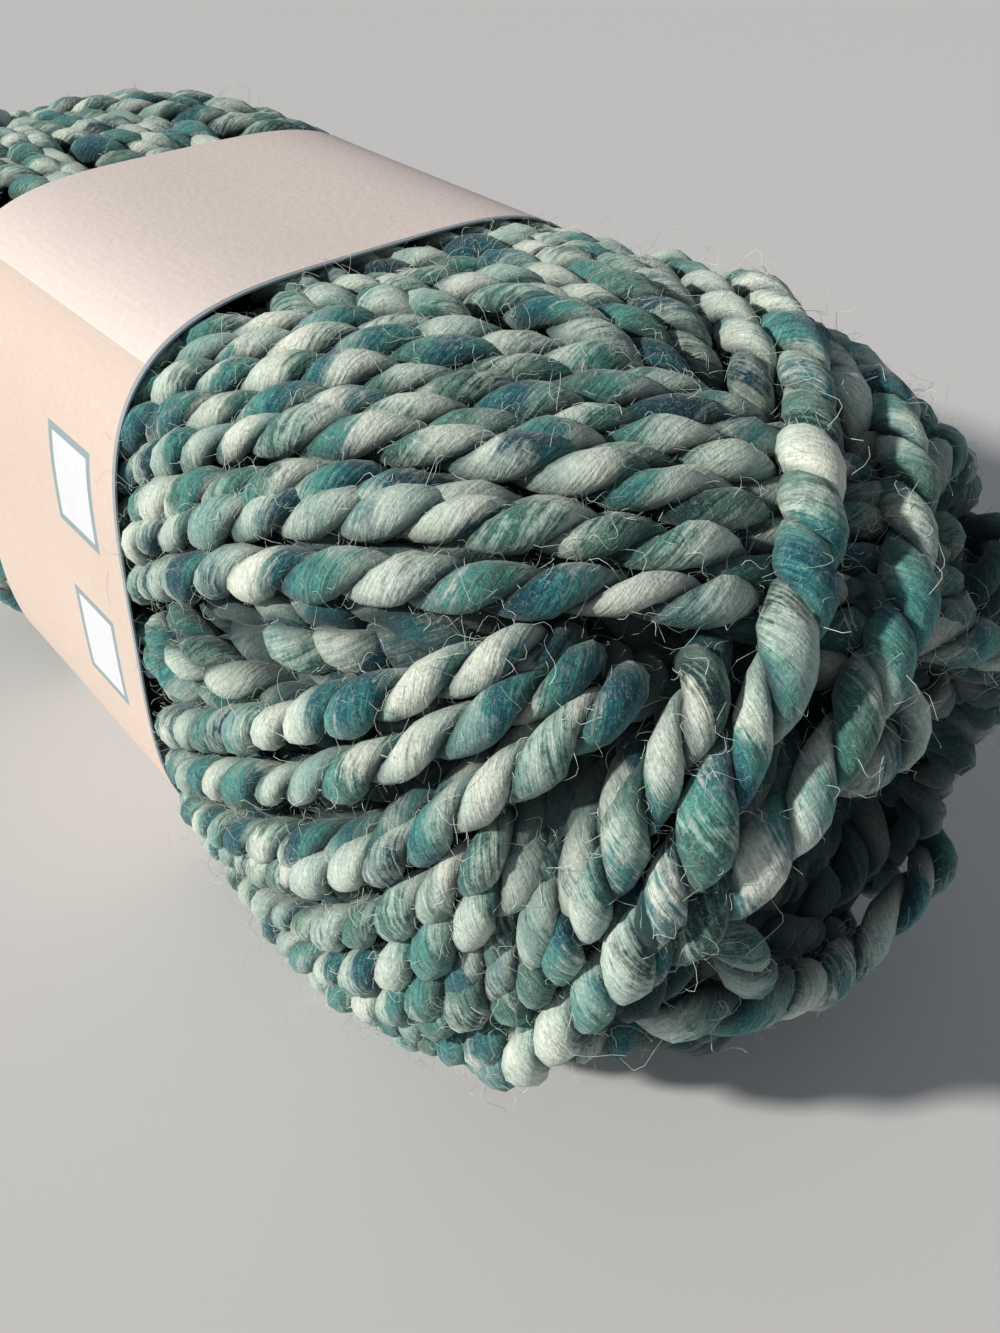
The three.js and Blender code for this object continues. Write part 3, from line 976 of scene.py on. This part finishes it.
def core(end, name, material):
    """What lies under an end's strands: the wound form drawn in by their depth."""
    along, turn = np.meshgrid(np.linspace(0, end.along[-1] - CORE_END, CORE_ACROSS),
                              np.arange(0.0, 360, CORE_STRIDE), indexing="ij")
    depth = np.interp(end.radius_at(along), *zip(*CORE_DEPTH))
    drawn_in = end.point(along, turn) - end.normal(along, turn) * depth[..., None]
    return grid_mesh(name, end.to_row(drawn_in), material, True)


PAPER_THICKNESS = 0.3
PAPER_GAP = 0.6                 # from the wound form to the paper
PAPER_START = -158              # turn at which the strip starts, low on the far side
PAPER_LAP = 11                  # turn by which its end laps its start
LAP_GAP = 0.15
PAPER_TURN_STEP = 1.5
PAPER_COLUMNS = 15
EDGE_SPRING, SPRING_POWER = 0.1, 6          # how far its edges stand off, and how suddenly
WAIST_MIDDLE = 50               # height of the waist's middle


def paper_band(material):
    """A strip of thin paper round the skein's waist, its end lapped over its start."""
    section, _ = section_points(FRONT_STATIONS[0])
    lengths = lengths_along(section)
    turns = np.arange(PAPER_START, PAPER_START + 360 + PAPER_LAP, PAPER_TURN_STEP)
    targets = np.mod(turns, 360) * lengths[-1] / 360
    _, y, z = at_lengths(targets, lengths, section).T[..., None]
    outward = unit(np.concatenate([np.gradient(-z, axis=0), np.gradient(y, axis=0)], 1))
    outward *= np.sign(outward[:, :1] * y + outward[:, 1:] * (z - WAIST_MIDDLE))
    lapped = smoothstep(PAPER_START + 360 - PAPER_LAP, PAPER_START + 360, turns)[:, None]
    across = np.linspace(0, 1, PAPER_COLUMNS)
    spring = EDGE_SPRING * np.abs(2 * across - 1) ** SPRING_POWER
    x = BAND_FRONT_X + (BAND_BACK_X - BAND_FRONT_X) * across
    sides = []
    for lift in (0, PAPER_THICKNESS):
        stand = PAPER_GAP + lift + lapped * (PAPER_THICKNESS + LAP_GAP) + spring
        sides.append(np.stack(np.broadcast_arrays(
            x, y + outward[:, :1] * stand, z + outward[:, 1:] * stand), -1))
    rings = np.concatenate([sides[0][:, ::-1], sides[1]], 1)
    piece = grid_mesh("paper_wrap", rings, material, False)
    up = turns * lengths[-1] / 360
    from_edge = BAND_FRONT_X - rings[..., 0].ravel()
    layer = piece.data.uv_layers.new(name="Print")
    for corner, uv in zip(piece.data.loops, layer.data):
        place = corner.vertex_index
        uv.uv = (from_edge[place], up[place // rings.shape[1]])
    flat = ((BAND_FRONT_X - BAND_BACK_X) * MM, (up[-1] - up[0]) * MM)
    return piece, flat


# ---- camera, floor and light ----
# The camera looks down at the near side of the front end from close by.
CAMERA_PLACE = (167.5, -95.0, 161.7)
CAMERA_FORWARD = (-0.58125, 0.49315, -0.64726)
FOCAL_LENGTH = 31.06
SENSOR_WIDTH = 36
NEAREST, FURTHEST = 0.005, 20   # that the camera sees, in metres
FLOOR_COLOUR = (0.72, 0.72, 0.73)
FLOOR_HALF = 4                  # half its side, in metres
SUN_HEADING = (0.40, 0.79, -0.46)
SUN_COLOUR = (1, 0.95, 0.87)
SUN_STRENGTH, SUN_SOFTNESS = 3.7, 4
SKY_COLOUR = (0.88, 0.92, 1.0)
SKY_STRENGTH = 0.23


def set_up(name, data, place, heading):
    """Puts the camera or the sun in the scene, turned to its heading."""
    thing = bpy.data.objects.new(name, data)
    thing.location = place
    thing.rotation_mode = "QUATERNION"
    thing.rotation_quaternion = Vector(heading).to_track_quat("-Z", "Y")
    bpy.context.scene.collection.objects.link(thing)
    return thing


def camera():
    data = bpy.data.cameras.new("camera")
    data.sensor_fit = "AUTO"
    data.sensor_width = SENSOR_WIDTH
    data.lens = FOCAL_LENGTH
    data.clip_start, data.clip_end = NEAREST, FURTHEST
    place = Vector(CAMERA_PLACE) * MM
    bpy.context.scene.camera = set_up("camera", data, place, CAMERA_FORWARD)


def studio():
    corners = [(x * FLOOR_HALF, y * FLOOR_HALF, 0) for x, y in ((-1, -1), (1, -1), (1, 1), (-1, 1))]
    mesh = bpy.data.meshes.new("floor")
    mesh.from_pydata(corners, [], [(0, 1, 2, 3)])
    link_mesh(mesh, plain_material("floor", FLOOR_COLOUR, 0.7))
    world = bpy.data.worlds.new("world")
    bpy.context.scene.world = world
    world.use_nodes = True
    sky = world.node_tree.nodes["Background"]
    sky.inputs[0].default_value = (*SKY_COLOUR, 1)
    sky.inputs[1].default_value = SKY_STRENGTH
    sun = bpy.data.lights.new("key", "SUN")
    sun.energy = SUN_STRENGTH
    sun.angle = math.radians(SUN_SOFTNESS)
    sun.color = SUN_COLOUR
    set_up("key", sun, (0, 0, 1), SUN_HEADING)
    bpy.context.scene.view_settings.view_transform = "Standard"


# ---- put together ----
camera()
studio()
yarn = yarn_material()
shadow = core_material()
fluff = plain_material("loose_fibre", LOOSE_HAIR_COLOUR, 0.8)
pieces = []
for end_name, end in (("front", FRONT), ("back", BACK)):
    pieces.append(core(end, f"yarn_under_turns_{end_name}", shadow))
    steps, sides, hair_count = DETAIL[end_name]
    made, places = yarn_pieces(wind(end, RNG), steps, sides, f"yarn_{end_name}", yarn, RNG)
    pieces += made
    pieces.append(hairs(end, places, hair_count, f"yarn_hairs_{end_name}", fluff, RNG))
for piece in pieces:
    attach(piece, "root")
    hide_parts("yarn_skein")

paper, paper_flat = paper_band(paper_material())
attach(paper, "root")
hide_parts("paper_band")
